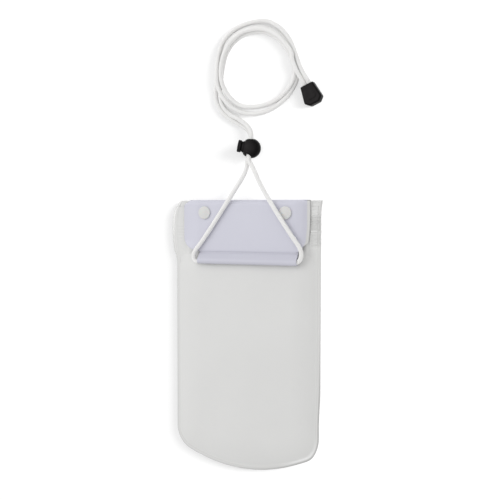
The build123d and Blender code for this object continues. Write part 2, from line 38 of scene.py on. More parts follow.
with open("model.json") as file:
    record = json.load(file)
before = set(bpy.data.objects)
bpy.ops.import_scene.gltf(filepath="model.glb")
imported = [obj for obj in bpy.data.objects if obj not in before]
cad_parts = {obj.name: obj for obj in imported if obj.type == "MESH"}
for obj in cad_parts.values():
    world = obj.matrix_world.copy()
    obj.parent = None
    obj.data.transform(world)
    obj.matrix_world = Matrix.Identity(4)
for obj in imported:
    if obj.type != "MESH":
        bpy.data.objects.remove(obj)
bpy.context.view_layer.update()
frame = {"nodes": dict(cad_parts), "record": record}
MM = 0.001
ROOT = "pouch"

# The pouch in millimetres, in the frame of the CAD model
WELD_Z = 4.2               # the plane in which the two sheets are welded
FILM = 0.4
WELD_GAP = 0.02            # keeps the two welded faces from lying in one another
WELD_WIDE = 2.3            # width of the weld along the edge
BEAD_IN = 2.5              # how far inside the edge the weld's bead runs
BEAD_WIDE = 0.45
HALF_WIDTH = 55.0
FOOT_Y = -96.2
FOOT_R = 104.19            # radius of the curved foot
CORNER_R = 18.4
BACK_LIP_Y = 96.2
FRONT_LIP_Y = 91.9
BELLY_TOP_Y = 62.0
BELLY_TOP_R = 16.0
BELLY_RISE = 3.8           # how far each belly stands off the welded margin
BELLY_SLOPE = 19.0         # the distance over which it rises
CHANNEL_HALF = 47.0        # half the width of the channel that holds the zip
CHANNEL_RISE = 1.1
CHANNEL_NARROWS = 4.0      # how much less wide each side of it is at the lip
# The left edge bulges beside the crushed zip and turns in at the lip: (y, how far out)
LEFT_EDGE = ((40.0, 0.0), (51.0, 0.0), (55.7, 0.6), (60.0, 2.3), (65.0, 3.1), (72.0, 3.7), (80.0, 3.7),
             (86.0, 3.1), (90.0, 1.7), (93.2, -0.3), (95.0, -1.5), (96.2, -3.2))
# How much lower than its plain curve the foot lies: (x, how far)
FOOT_DROP = ((-55.0, 0.0), (-25.0, 0.2), (0.0, 0.5), (30.0, 0.5), (40.0, 0.6), (46.0, 1.1), (50.0, 2.0),
             (53.0, 2.3), (55.0, 2.3))
TIP_LOW_Y = 86.0           # the right edge flares out above this
TIP_FLARE = 1.2
RIGHT_NARROWS = 0.95       # how far the right edge is drawn in above the lower corner
ZIP_Y = 73.8
ZIP_PITCH = 3.9
RIDGE_PITCH = 0.56 * ZIP_PITCH
# Ridges that cross the right weld beside the zip: (y, height, width)
WELD_RIDGES = ((86.2, 1.4, 0.5), (80.6, 0.6, 0.7), (74.6, 1.6, 0.5), (66.0, 1.2, 0.6))
WELD_LEAN = 0.05           # how much those ridges and the groove beside them lean
# The zip's two crushed stretches in that weld, in y
CRUSHED_UPPER = (75.2, 85.6)
CRUSHED_LOWER = (62.0, 73.6)
WELD_FOLD_X = 53.5         # a fold along the right weld, in from its edge
WELD_FOLD_DEPTH = 1.9
WELD_GROOVE_X = 46.6       # a groove along its inner side
WELD_GROOVE_DEPTH = 2.2
DENTS_ACROSS = 0.035       # soft dents of the film to the millimetre, across and along the pouch
DENTS_ALONG = 0.028

# The flap
FLAP_T = 0.5
FLAP_LEFT = -47.8
FLAP_RIGHT = 46.0
FLAP_MARGIN = 2.2          # pale welded margin beyond the lavender film at the right
FLAP_DROOP = 1.9           # how far its ends hang below its middle
MARGIN_DROOP = 1.5         # how much further the pale margin hangs
TUNNEL_LEFT = -34.9
TUNNEL_RIGHT = 40.0
TUNNEL_MIDDLE = 2.5
TUNNEL_Y = 53.4
TUNNEL_Z = 11.0
TUNNEL_R = 2.05            # middle of the film round the cord
SEAM_Y = 60.2
CORNER_LOW_Y = 70.0        # the flap's sides start to curve in below this
FLAP_MID = 8.95            # middle of the film that lies on the pouch
FLAP_TOP = FLAP_MID + FLAP_T / 2
FLAP_UNDER = FLAP_MID - FLAP_T / 2
BACK_LEG_Y = 84.5          # end of the strip behind the mouth
BACK_LEG_Z = 2.45
FOLD_Y = 96.5              # the fold over the mouth, sharper below than above
FOLD_R = 1.0
FOLD_TOP_R = 3.4
FOLD_INSET = 5.0           # how far the left end draws in at the fold

# The snaps
SNAP_X = 30.7
SNAP_Y = 87.6
CAP_R = 4.6
CAP_RIM = 0.5              # radius of its rolled rim

# The neck cord
CORD_D = 3.2
CORD_FLOOR = CORD_D / 2 + 0.1  # height of a strand that lies on the table
NESTED = 4.5               # height of a strand between two others
ON_TOP = 4.9               # height of a strand that lies on another
STRAND_STEP = 1.65         # from the middle of a pair of strands to each one
CORD_STEP = 0.4            # length of the cord's faces
STITCHES_ROUND = 8
STITCH_FACES = 4

# The cord lock and the cord end, with their angles in degrees
LOCK_PLACE = (4.3, 132.9, 6.95)  # middle of the ball
LOCK_TURN = -6.5
LOCK_PITCH = 14.0
LOCK_ROLL = 20.0
END_PLACE = (44.55, 175.35, 3.4)  # middle of the mouth
END_TURN = 204.5

# The ring of cord
RING_X = 8.5
RING_Y = 189.8
# Its inner edge, as a radius for every 30 degrees from +X round to the left
RING_INSIDE = (23.9, 21.1, 22.0, 23.4, 25.0, 26.1, 26.7, 28.3, 28.2, 25.1, 24.7, 24.8)
LANE = CORD_D + 0.05       # from one strand in the ring to the next
TURN_POINTS = 18           # route points in each turn
SPLINE_PULL = 0.99         # the spline runs this much inside its points

# The camera that was fitted to the photograph
CAMERA_AIM = (0.81, 60.93, 0.0)
CAMERA_DISTANCE = 608.3
CAMERA_TILT_X = 21.64      # degrees, towards +X
CAMERA_TILT_Y = -2.65
CAMERA_ROLL = 0.07
CAMERA_LENS = 61.12

# The table
TABLE_HALF = 2500.0
TABLE_Z = -0.05
TABLE_GLOW = 0.4           # share of the table's white that no shadow takes
WHITE = (1.0, 1.0, 1.0, 1.0)

# The lamps, in metres
LAMPS_AIM = (0.0, 0.06, 0.0)
KEY_PLACE = (-0.5, 0.5, 0.72)
KEY_SIZE = 0.75
GLINT_PLACE = (-0.42, 0.1, 0.72)
GLINT_SIZE = 0.1
SIDE_PLACE = (1.02, 0.42, 0.64)
LOW_PLACE = (1.25, 0.3, 0.26)
SIDE_SIZE = 0.5


class PouchSizes(bpy.types.PropertyGroup):
    """Sizes that a user would change"""

    ripple: FloatProperty(
        name="Film ripple", description="Height of the soft dents in the film",
        default=0.22 * MM, min=0.0, unit="LENGTH")
    crinkle: FloatProperty(
        name="Weld crinkle", description="Height of the crinkles in the welds beside the zip",
        default=0.3 * MM, min=0.0, unit="LENGTH")
    bead: FloatProperty(
        name="Weld bead", description="Height of the bead along the welded margin",
        default=0.2 * MM, min=0.0, unit="LENGTH")
    cord: FloatProperty(
        name="Cord diameter", description="Outer diameter of the neck cord",
        default=CORD_D * MM, min=0.001, unit="LENGTH")
    braid: FloatProperty(
        name="Braid relief", description="Height of the braid's stitches",
        default=0.055 * MM, min=0.0, unit="LENGTH")
    stitch: FloatProperty(
        name="Stitch length", description="Length of one stitch of the braid",
        default=1.5 * MM, min=0.0002, unit="LENGTH")


class PouchColours(bpy.types.PropertyGroup):
    """Colours that a user would change"""

    film: FloatVectorProperty(
        name="Frosted film", description="Colour of the two sheets", subtype="COLOR",
        default=(0.745, 0.745, 0.735), min=0.0, max=1.0)
    flap: FloatVectorProperty(
        name="Flap film", description="Colour of the closing flap", subtype="COLOR",
        default=(0.587, 0.587, 0.662), min=0.0, max=1.0)
    cord: FloatVectorProperty(
        name="Cord", description="Colour of the neck cord", subtype="COLOR",
        default=(0.835, 0.83, 0.82), min=0.0, max=1.0)
    snap: FloatVectorProperty(
        name="Snaps", description="Colour of the snap fasteners", subtype="COLOR",
        default=(0.635, 0.635, 0.625), min=0.0, max=1.0)
    black: FloatVectorProperty(
        name="Black plastic", description="Colour of the cord lock and the cord end", subtype="COLOR",
        default=(0.0225, 0.021, 0.0215), min=0.0, max=1.0)


class PouchStage(bpy.types.PropertyGroup):
    """Light and camera"""

    key: FloatProperty(
        name="Key light", description="Power of the broad lamp at the upper left, on the pouch",
        default=2.55, min=0.0, unit="POWER")
    side: FloatProperty(
        name="Table light", description="Power of the lamp at the right, which lights the table",
        default=8.0, min=0.0, unit="POWER")
    sky: FloatProperty(
        name="Ambient", description="Strength of the even light from all round",
        default=0.835, min=0.0)


# Small helpers

def link(obj):
    """Puts a new object in the scene."""
    bpy.context.scene.collection.objects.link(obj)
    return obj


def grid_quads(rows, wide):
    """Faces of a grid of points that is stored row by row."""
    quads = []
    for j in range(rows - 1):
        for a in range(j * wide, j * wide + wide - 1):
            quads.append((a, a + 1, a + wide + 1, a + wide))
    return quads


def new_mesh(name, points, faces, smooth=True):
    """An object from points in millimetres."""
    mesh = bpy.data.meshes.new(name)
    mesh.from_pydata([tuple(c * MM for c in p) for p in points], [], faces)
    mesh.validate()
    for poly in mesh.polygons:
        poly.use_smooth = smooth
    return link(bpy.data.objects.new(name, mesh))


def settle(obj):
    """Turns what the modifiers give into a plain mesh."""
    graph = bpy.context.evaluated_depsgraph_get()
    graph.update()
    made = bpy.data.meshes.new_from_object(obj.evaluated_get(graph))
    name = obj.data.name
    obj.modifiers.clear()
    obj.data = made
    made.name = name
    return obj


def dress(obj, material):
    """Gives a piece its only material."""
    obj.data.materials.clear()
    obj.data.materials.append(material)


def finish_piece(obj, slot, *nodes):
    """A finished piece rides on the pouch and stands for its CAD nodes."""
    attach(obj, ROOT)
    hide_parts(*nodes)


def smooth_step(x, low, high):
    """Rises smoothly from 0 at low to 1 at high."""
    t = min(max((x - low) / (high - low), 0.0), 1.0)
    return t * t * (3 - 2 * t)


def swell(x, low, high):
    """Rises from 0 at low, steep at first, to 1 at high."""
    t = min(max((x - low) / (high - low), 0.0), 1.0)
    return 1 - (1 - t) ** 2.2


def bell(offset, width):
    """1 where offset is 0, falling away on both sides."""
    return math.exp(-(offset / width) ** 2)


def spread(count, low, high, edge):
    """Values from low to high, crowded towards both ends by edge."""
    values = []
    for i in range(count + 1):
        t = i / count
        crowded = (1 - math.cos(math.pi * t)) / 2
        values.append(low + (high - low) * (edge * crowded + (1 - edge) * t))
    return values


class Graph:
    """Builds a node tree from short calls."""

    def __init__(self, tree):
        self.tree = tree

    def node(self, kind, settings=(), **inputs):
        """A node with its inputs by name, or by number as n0, n1 and so on."""
        made = self.tree.nodes.new(kind)
        for key, value in dict(settings).items():
            setattr(made, key, value)
        for key, value in inputs.items():
            numbered = key[0] == "n" and key[1:].isdigit()
            self.put(made.inputs[int(key[1:]) if numbered else key.replace("_", " ")], value)
        return made

    def put(self, socket, value):
        """Links a socket to another one, or sets its value."""
        if isinstance(value, bpy.types.NodeSocket):
            self.tree.links.new(value, socket)
        else:
            socket.default_value = value

    def math(self, operation, a, b=0.0):
        """The result of a sum on one or two sockets or numbers."""
        return self.node("ShaderNodeMath", {"operation": operation}, n0=a, n1=b).outputs[0]

    def stitch(self, u, v):
        """A braid's stitches over u and v: 1 or -1 in the middle of each, and 0 between them."""
        wave_u = self.math("COSINE", self.math("MULTIPLY", u, 2 * math.pi))
        wave_v = self.math("COSINE", self.math("MULTIPLY", v, 2 * math.pi))
        return self.math("MULTIPLY", self.math("SUBTRACT", wave_u, wave_v), 0.5)


def new_group(name, kind, inputs, outputs):
    """A node group's tree and graph. Each socket is a name, a type and for some a default."""
    tree = bpy.data.node_groups.new(name, kind)
    for way, sockets in (("INPUT", inputs), ("OUTPUT", outputs)):
        for label, socket_type, *default in sockets:
            socket = tree.interface.new_socket(label, in_out=way, socket_type="NodeSocket" + socket_type)
            if default:
                socket.default_value = default[0]
    return tree, Graph(tree)


# Materials

def surface_group():
    """Grain, uneven gloss and a faint change of colour, shared by every finish."""
    tree, g = new_group("Surface life", "ShaderNodeTree", (
        ("Vector", "Vector"),
        ("Colour", "Color", (0.8, 0.8, 0.8, 1)),
        ("Second Colour", "Color", (0.7, 0.7, 0.7, 1)),
        ("Patch Scale", "Float", 40.0),
        ("Grain Scale", "Float", 2500.0),
        ("Grain Depth", "Float", 0.1),
        ("Roughness Low", "Float", 0.35),
        ("Roughness High", "Float", 0.5),
    ), (("Colour", "Color"), ("Roughness", "Float"), ("Normal", "Vector")))
    given = g.node("NodeGroupInput").outputs
    patches = g.node("ShaderNodeTexNoise", Vector=given["Vector"], Scale=given["Patch Scale"],
                     Detail=3.0, Roughness=0.55)
    grain = g.node("ShaderNodeTexNoise", Vector=given["Vector"], Scale=given["Grain Scale"],
                   Detail=2.0, Roughness=0.6)
    clouded = g.node("ShaderNodeMapRange", Value=patches.outputs[0], From_Min=0.3, From_Max=0.7)
    colour = g.node("ShaderNodeMix", {"data_type": "RGBA"}, n0=clouded.outputs[0],
                    n6=given["Colour"], n7=given["Second Colour"])
    gloss = g.node("ShaderNodeMapRange", Value=patches.outputs[0], From_Min=0.3, From_Max=0.7,
                   To_Min=given["Roughness Low"], To_Max=given["Roughness High"])
    bump = g.node("ShaderNodeBump", Strength=given["Grain Depth"], Distance=0.2 * MM,
                  Height=grain.outputs[0])
    g.node("NodeGroupOutput", Colour=colour.outputs[2], Roughness=gloss.outputs[0],
           Normal=bump.outputs[0])
    return tree


def braid_group():
    """Yarns of a braid on UV: stitches that cross, each of a few fine filaments, with a mask for painted
    shade between the stitches.
    """
    tree, g = new_group("Braid yarns", "ShaderNodeTree", (
        ("Vector", "Vector"), ("Filaments", "Float", 4.0),
    ), (("Height", "Float"), ("Shade", "Float")))
    given = g.node("NodeGroupInput").outputs
    across = g.node("ShaderNodeSeparateXYZ", Vector=given["Vector"])
    u, v = across.outputs[0], across.outputs[1]
    stitch = g.stitch(u, v)
    over = g.math("GREATER_THAN", stitch, 0.0)
    turns = g.math("MULTIPLY", given["Filaments"], 2 * math.pi)
    yarn_one = g.math("COSINE", g.math("MULTIPLY", g.math("ADD", u, v), turns))
    yarn_other = g.math("COSINE", g.math("MULTIPLY", g.math("SUBTRACT", u, v), turns))
    yarn = g.node("ShaderNodeMix", {"data_type": "FLOAT"}, n0=over, n2=yarn_one, n3=yarn_other)
    raised = g.math("ABSOLUTE", stitch)
    height = g.math("ADD", raised, g.math("MULTIPLY", yarn.outputs[0], 0.18))
    # mask for painted shade: 0 between the stitches, 1 on them
    shade = g.node("ShaderNodeMapRange", Value=raised, From_Max=0.35)
    g.node("NodeGroupOutput", Height=height, Shade=shade.outputs[0])
    return tree


def shaded(colour, factor):
    """A colour for a node's socket, darkened by a factor."""
    return tuple(c * factor for c in colour) + (1.0,)


def blank_material(name):
    """A material without nodes, and its graph."""
    material = bpy.data.materials.new(name)
    material.use_nodes = True
    material.node_tree.nodes.clear()
    return material, Graph(material.node_tree)


def new_material(name, group, colour, second=0.94, patch=40.0, grain=2500.0, depth=0.1,
                 rough=(0.35, 0.5), **shader):
    """A material with the shared surface group on Object coordinates. Shader values are plain."""
    material, g = blank_material(name)
    place = g.node("ShaderNodeTexCoord")
    life = g.node("ShaderNodeGroup", {"node_tree": group}, Vector=place.outputs["Object"],
                  Colour=shaded(colour, 1.0), Second_Colour=shaded(colour, second), Patch_Scale=patch,
                  Grain_Scale=grain, Grain_Depth=depth, Roughness_Low=rough[0], Roughness_High=rough[1])
    bsdf = g.node("ShaderNodeBsdfPrincipled", Base_Color=life.outputs["Colour"],
                  Roughness=life.outputs["Roughness"], Normal=life.outputs["Normal"], **shader)
    g.node("ShaderNodeOutputMaterial", Surface=bsdf.outputs[0])
    return material


def mix_in(material, mask, colour, factor):
    """Mixes a shade of a colour into a material where the mask is 1."""
    g = Graph(material.node_tree)
    socket = material.node_tree.nodes["Principled BSDF"].inputs["Base Color"]
    mixed = g.node("ShaderNodeMix", {"data_type": "RGBA"}, n0=mask, n6=socket.links[0].from_socket,
                   n7=shaded(colour, factor))
    g.put(socket, mixed.outputs[2])


def tint(material, attribute, colour, factor):
    """Mixes a shade of a colour in where an attribute of the mesh is 1."""
    mask = Graph(material.node_tree).node("ShaderNodeAttribute", {"attribute_name": attribute})
    mix_in(material, mask.outputs["Fac"], colour, factor)


def plastic_material(surface, colour):
    """Black moulded plastic, with painted shade that darkens its flanks, where they don't look up into
    the light.
    """
    material = new_material("black plastic", surface, colour, second=0.7, patch=260.0, grain=3000.0,
                            depth=0.12, rough=(0.3, 0.42), Specular_IOR_Level=0.035)
    g = Graph(material.node_tree)
    # painted shade: the further a face turns from facing up, the darker its colour
    facing = g.node("ShaderNodeNewGeometry").outputs["Normal"]
    up = g.node("ShaderNodeSeparateXYZ", Vector=facing).outputs[2]
    flank_shade = g.node("ShaderNodeMapRange", Value=up, From_Min=0.55, From_Max=0.97, To_Min=1.0, To_Max=0.0)
    mix_in(material, flank_shade.outputs[0], colour, 0.2)
    return material


def film_material(surface, colour):
    """Frosted film: smoother where it is welded, with painted shade on the cut rim of the weld and on
    the crushed zip ends, and a painted highlight on the bead at the lower right corner.
    """
    material = new_material("frosted film", surface, colour, second=0.975, patch=22.0, grain=1800.0,
                            depth=0.12, rough=(0.38, 0.5), Transmission_Weight=0.1, IOR=1.45,
                            Specular_IOR_Level=0.45)
    tint(material, "weld", colour, 0.965)
    # partly the clearer pressed film, partly painted shade: the crushed zip ends in the right weld are
    # darkened
    tint(material, "crushed", colour, 0.84)
    # painted shade along the cut rim of the weld, strongest at the lower right corner
    tint(material, "rim", colour, 0.66)
    # painted highlight along the weld's bead at the lower right corner
    tint(material, "stressed", (1.0, 1.0, 1.0), 0.97)
    g = Graph(material.node_tree)
    nodes = material.node_tree.nodes
    weld = g.node("ShaderNodeAttribute", {"attribute_name": "weld"}).outputs["Fac"]
    gloss = g.node("ShaderNodeMix", {"data_type": "FLOAT"}, n0=weld,
                   n2=nodes["Group"].outputs["Roughness"], n3=0.16)
    g.put(nodes["Principled BSDF"].inputs["Roughness"], gloss.outputs[0])
    return material


def flap_material(surface, colour, film):
    """Lavender film: deeper in colour where it lies in two layers round the tunnel, with painted shade
    along the seam, and pale on its welded margin.
    """
    material = new_material("lavender film", surface, colour, second=0.975, patch=25.0, grain=1500.0,
                            depth=0.12, rough=(0.42, 0.55), Specular_IOR_Level=0.4)
    # deeper where the film lies in two layers, and painted shade along the seam
    tint(material, "doubled", colour, 0.88)
    tint(material, "margin", film, 0.84)
    return material


def cord_material(surface, braid, colour):
    """The braided cord: stitches and filaments on the cord's own UV, with painted shade between the
    stitches.
    """
    material = new_material("braided cord", surface, colour, second=0.95, patch=120.0, grain=5000.0,
                            depth=0.05, rough=(0.62, 0.78), Sheen_Weight=0.3, Sheen_Roughness=0.4,
                            Subsurface_Weight=0.3, Subsurface_Radius=(1, 1, 1), Subsurface_Scale=0.002)
    g = Graph(material.node_tree)
    nodes = material.node_tree.nodes
    bsdf = nodes["Principled BSDF"]
    life = nodes["Group"]
    uv = g.node("ShaderNodeUVMap", {"uv_map": "along"})
    yarns = g.node("ShaderNodeGroup", {"node_tree": braid}, Vector=uv.outputs[0])
    bump = g.node("ShaderNodeBump", Strength=0.5, Distance=0.1 * MM,
                  Height=yarns.outputs["Height"], Normal=life.outputs["Normal"])
    g.put(bsdf.inputs["Normal"], bump.outputs[0])
    # painted shade: the colour is darker between the stitches, where the yarns dip
    colours = g.node("ShaderNodeMix", {"data_type": "RGBA"}, n0=yarns.outputs["Shade"],
                     n6=shaded(colour, 0.84), n7=life.outputs["Colour"])
    g.put(bsdf.inputs["Base Color"], colours.outputs[2])
    return material


def make_materials():
    """Every finish by its slot name in the record."""
    colours = bpy.context.scene.pouch_colours
    surface = surface_group()
    made = {
        "frosted_film": film_material(surface, colours.film),
        "zip_film": new_material(
            "clear zip strip", surface, colours.film, second=0.97, patch=50.0, depth=0.03,
            rough=(0.2, 0.3), Transmission_Weight=0.3, IOR=1.45),
        "lavender_film": flap_material(surface, colours.flap, colours.film),
        "snap_plastic": new_material(
            "snap plastic", surface, colours.snap, second=0.96, patch=120.0, grain=3500.0, depth=0.05,
            rough=(0.38, 0.48), Subsurface_Weight=0.05, Subsurface_Scale=0.001),
        "black_plastic": plastic_material(surface, colours.black),
        "spring_steel": new_material(
            "spring steel", surface, (0.62, 0.62, 0.64), second=0.85, patch=400.0, depth=0.03,
            rough=(0.22, 0.34), Metallic=1.0),
        "woven_cord": cord_material(surface, braid_group(), colours.cord),
    }
    for slot, material in made.items():
        material["slot"] = slot


def finish_of(slot):
    """The material for a slot name of the record."""
    return next(m for m in bpy.data.materials if m.get("slot") == slot)


# The two film sheets

def weld_mask(x, y, low, high):
    """1 on the outline's rim, falling to 0 between low and high millimetres inside it."""
    return 1 - smooth_step(inside(x, y), low, high)


def inside(x, y):
    """How far a point of a finished sheet lies inside its edge."""
    return outline_distance(x - edge_shift(x, y), y + foot_drop(x, y))


def foot_drop(x, y):
    """How much lower than its plain curve the foot lies at a point, fading out upwards."""
    return smooth_through(FOOT_DROP, x) * smooth_step(-y, 62.0, 96.0)


def outline_distance(x, y):
    """How far a point lies inside the pouch's outline, without the bulge and the flared tip."""
    x = abs(x)
    foot_centre = FOOT_Y + FOOT_R
    corner_x = HALF_WIDTH - CORNER_R
    reach = FOOT_R - CORNER_R
    corner_y = foot_centre - math.sqrt(reach ** 2 - corner_x ** 2)
    side = HALF_WIDTH - x
    foot = FOOT_R - math.hypot(x, y - foot_centre) if y < foot_centre else side
    qx, qy = x - corner_x, y - corner_y
    tangent_x, tangent_y = corner_x / reach, (corner_y - foot_centre) / reach
    below_side = qy < 0
    beside_foot = qx * tangent_y - qy * tangent_x < 0
    if qx > 0 and below_side and beside_foot:
        return CORNER_R - math.hypot(qx, qy)
    return min(side, foot)


def foot_edge(x):
    """Lowest y of the outline at x."""
    low, high = FOOT_Y - 1.0, 0.0
    for _ in range(40):
        middle = (low + high) / 2
        if outline_distance(x, middle) > 0:
            high = middle
        else:
            low = middle
    return high


def smooth_through(stops, x):
    """A smooth curve through a list of (x, value), x rising."""
    if x <= stops[0][0]:
        return stops[0][1]
    last = len(stops) - 1
    for i in range(last):
        (x0, v0), (x1, v1) = stops[i], stops[i + 1]
        if x <= x1:
            xa, va = stops[max(i - 1, 0)]
            xb, vb = stops[min(i + 2, last)]
            wide = x1 - x0
            m0 = (v1 - va) / (x1 - xa) * wide
            m1 = (vb - v0) / (xb - x0) * wide
            s = (x - x0) / wide
            leaving = (v0 * (1 + 2 * s) + m0 * s) * (1 - s) ** 2
            return leaving + (v1 * (3 - 2 * s) + m1 * (s - 1)) * s ** 2
    return stops[last][1]


def edge_shift(x, y):
    """How far the bulge at the left and the flared tip at the right move a point across."""
    flare = max(0.0, (y - TIP_LOW_Y) / (BACK_LIP_Y - TIP_LOW_Y))
    left = smooth_through(LEFT_EDGE, y) * smooth_step(-x, CHANNEL_HALF - 2, HALF_WIDTH)
    narrow = RIGHT_NARROWS * smooth_step(-y, 34.0, 62.0) * (1 - smooth_step(-y, 80.0, 92.0))
    right = (TIP_FLARE * flare ** 1.5 - narrow) * smooth_step(x, CHANNEL_HALF - 2, HALF_WIDTH)
    return right - left


def belly(x, y):
    """Height of the belly over the welded margin, 0 to 1."""
    side = outline_distance(x, y) - WELD_WIDE
    top = BELLY_TOP_Y - y
    depth = min(side, top)
    if side < BELLY_TOP_R and top < BELLY_TOP_R:
        depth = BELLY_TOP_R - math.hypot(BELLY_TOP_R - side, BELLY_TOP_R - top)
    return swell(depth, 0.0, BELLY_SLOPE)


def channel(x, y):
    """Height of the zip's channel, 0 to 1. It narrows at the front sheet's lip."""
    half = CHANNEL_HALF - CHANNEL_NARROWS * smooth_step(y, 88.5, 92.0)
    return smooth_step(half - abs(x), 0.0, 2.6) * smooth_step(y, 46.0, 60.0)


def film_height(x, y, sizes, seed):
    """Height of a sheet's outer face over its own margin, in millimetres."""
    margin = outline_distance(x, y)
    rise = max(BELLY_RISE * belly(x, y), CHANNEL_RISE * channel(x, y))
    slack = smooth_step(margin, WELD_WIDE, 9.0) * smooth_step(CHANNEL_RISE + 0.5 - rise, -3.0, 0.6)
    place = Vector((x * DENTS_ACROSS, y * DENTS_ALONG, seed))
    dents = noise.noise(place) + 0.5 * noise.noise(place * 2.3)
    rise += sizes.ripple / MM * dents * slack
    rise += sizes.bead / MM * bell(margin - BEAD_IN, BEAD_WIDE)
    rise += sizes.crinkle / MM * side_weld_creases(x, y, seed)
    return rise


def crushed(x, y):
    """1 where the zip's ends are crushed in the weld at the right, and 0 away from them."""
    across = smooth_step(x, CHANNEL_HALF + 0.6, CHANNEL_HALF + 1.6)
    low, high = CRUSHED_UPPER
    upper = smooth_step(y, low, low + 1.0) * smooth_step(high - y, 0.0, 0.8)
    low, high = CRUSHED_LOWER
    lower = 0.6 * smooth_step(y, low, low + 5.0) * smooth_step(high - y, 0.0, 1.0)
    return across * (upper + lower)


def side_weld_creases(x, y, seed):
    """Creases of the welds beside the zip, as a share of the crinkle's height."""
    side = smooth_step(abs(x), CHANNEL_HALF, CHANNEL_HALF + 1.2)
    if x < 0:
        ridges = 0.5 + 0.5 * math.cos(2 * math.pi * (y - ZIP_Y) / RIDGE_PITCH)
        near_zip = smooth_step(6.4 - abs(y - ZIP_Y), 0.0, 1.5)
        soft = noise.noise(Vector((x * 0.2, y * 0.4, seed + 5)))
        inner = smooth_step(x, -54.0, -51.5)
        return side * inner * (0.35 * ridges * near_zip + 0.2 * soft * smooth_step(y, 60.0, 68.0))
    long_creases = noise.noise(Vector((x * 0.12, y * 0.6, seed + 5)))
    fine = noise.noise(Vector((x * 0.5, y * 1.5, seed + 9)))
    total = (1.3 * long_creases + 0.9 * fine) * smooth_step(y, 61.0, 66.0)
    for place, height, width in WELD_RIDGES:
        total += height * bell(y - place - WELD_LEAN * (x - 50), width)
    total -= crushed(x, y)
    fold = bell(x - WELD_FOLD_X - 0.02 * (y - 80), 0.45) * smooth_step(y, 64.0, 67.0)
    total -= WELD_FOLD_DEPTH * fold
    groove = bell(x - WELD_GROOVE_X - WELD_LEAN * (y - 80), 0.4) * smooth_step(y, 66.0, 69.0)
    return side * total - WELD_GROOVE_DEPTH * groove


def rim_shade_weight(x, y):
    """How strong the painted shade on the cut rim is: most at the lower right corner."""
    return 0.15 + 0.85 * smooth_step(x, -30.0, 40.0) * smooth_step(-y, -15.0, 50.0)


def stressed(x, y):
    """1 where a highlight is painted along the weld's bead at the lower right corner."""
    return bell(inside(x, y) - 2.1, 0.5) * smooth_step(x, 22.0, 42.0) * smooth_step(-y, 66.0, 86.0)


def mark(obj, name, value):
    """Stores value(x, y), with x and y in millimetres, on the points of a mesh."""
    layer = obj.data.attributes.new(name, "FLOAT", "POINT")
    for item, vertex in zip(layer.data, obj.data.vertices):
        item.value = value(vertex.co.x / MM, vertex.co.y / MM)


def build_sheet(name, lip_y, side, seed):
    """One sheet as a grid from the curved foot to the lip, with a real thickness.

    side is 1 for the front sheet, above the weld, and -1 for the back one.
    """
    sizes = bpy.context.scene.pouch_sizes
    columns = spread(170, -HALF_WIDTH + 0.02, HALF_WIDTH - 0.02, 0.85)
    rows = spread(110, 0.0, 0.8, 0.4) + spread(100, 0.8, 1.0, 0.1)[1:]
    feet = [foot_edge(x) for x in columns]
    points = []
    for t in rows:
        for x, low in zip(columns, feet):
            y = low + (lip_y - low) * t
            rise = film_height(x, y, sizes, seed)
            z = WELD_Z + side * (WELD_GAP + FILM + rise)
            z = min(max(z, 0.0), FLAP_UNDER)
            points.append((x + edge_shift(x, y), y - foot_drop(x, y), z))
    quads = grid_quads(len(rows), len(columns))
    sheet = new_mesh(name, points, quads if side > 0 else [quad[::-1] for quad in quads])
    wall = sheet.modifiers.new("wall", "SOLIDIFY")
    wall.thickness = FILM * MM
    wall.offset = -1.0
    wall.use_even_offset = True
    settle(sheet)
    # painted shade on the cut rim
    mark(sheet, "rim", lambda x, y: rim_shade_weight(x, y) * weld_mask(x, y, 0.6, 1.2))
    mark(sheet, "weld", lambda x, y: weld_mask(x, y, WELD_WIDE - 0.1, WELD_WIDE + 0.6))
    # painted shade on the crushed zip ends, as well as the pressed film
    mark(sheet, "crushed", crushed)
    # painted highlight on the bead
    mark(sheet, "stressed", stressed)
    dress(sheet, finish_of("frosted_film"))
    return sheet


# The closing flap

